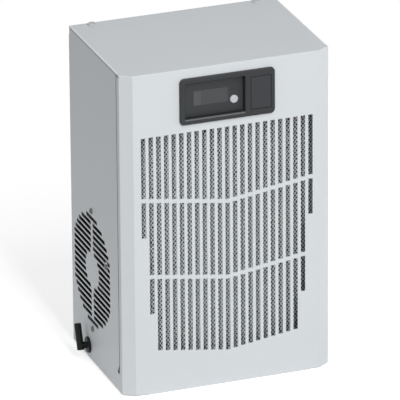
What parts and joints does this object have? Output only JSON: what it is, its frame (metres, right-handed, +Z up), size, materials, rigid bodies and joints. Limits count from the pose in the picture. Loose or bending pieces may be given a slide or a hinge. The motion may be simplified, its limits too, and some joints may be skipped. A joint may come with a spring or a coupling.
{
  "type": "enclosure air conditioner",
  "caption": "Small enclosure air conditioner: light grey sheet-metal cabinet with a slotted front, a dark control panel, a side fan grille and a flat rear face.",
  "frame": {"origin": "middle of the cabinet's base, on the surface it stands on", "axes": "+Z up along the cabinet's height, +Y out of the flat rear face, so the slotted front faces -Y and the fan grille -X"},
  "size_m": [0.294, 0.2015, 0.4344],
  "materials": {
    "cabinet_paint": "fine light grey powder coat",
    "bezel_plastic": "matt charcoal moulding",
    "controller_plastic": "matt dark grey",
    "display_plastic": "smooth grey display window",
    "button_plastic": "light grey button",
    "badge_foil": "bare charcoal inlay",
    "filter_metal": "expanded aluminium mesh",
    "filter_rail_metal": "folded aluminium rail",
    "coil_metal": "finned coil",
    "zinc_steel": "zinc plated",
    "black_plastic": "matt black",
    "foam_rubber": "closed-cell foam",
    "black_paint": "black enamel"
  },
  "bodies": {
    "root": {"front_cover": "cabinet_paint", "top_cover": "cabinet_paint", "base_pan": "cabinet_paint", "left_side_panel": "cabinet_paint", "right_side_panel": "cabinet_paint", "rear_plate": "cabinet_paint", "mounting_nuts": "zinc_steel", "rear_gasket": "foam_rubber", "control_bezel": "bezel_plastic", "badge_plate": "badge_foil", "controller": "controller_plastic", "display_window": "display_plastic", "control_button": "button_plastic", "filter_frame": "filter_rail_metal", "filter_mesh": "filter_metal", "condenser_coil": "coil_metal", "coil_end_plates": "zinc_steel", "condenser_fan_frame": "black_plastic", "condenser_fan_rotor": "black_plastic", "cord_outlet": "black_plastic", "outlet_nut": "black_plastic", "lifting_plugs": "zinc_steel", "bulkhead": "zinc_steel", "inlet_fan_frame": "black_plastic", "inlet_fan_rotor": "black_plastic", "cooling_coil": "coil_metal", "compressor": "black_paint", "drain_spout": "black_plastic"}
  },
  "joints": []
}
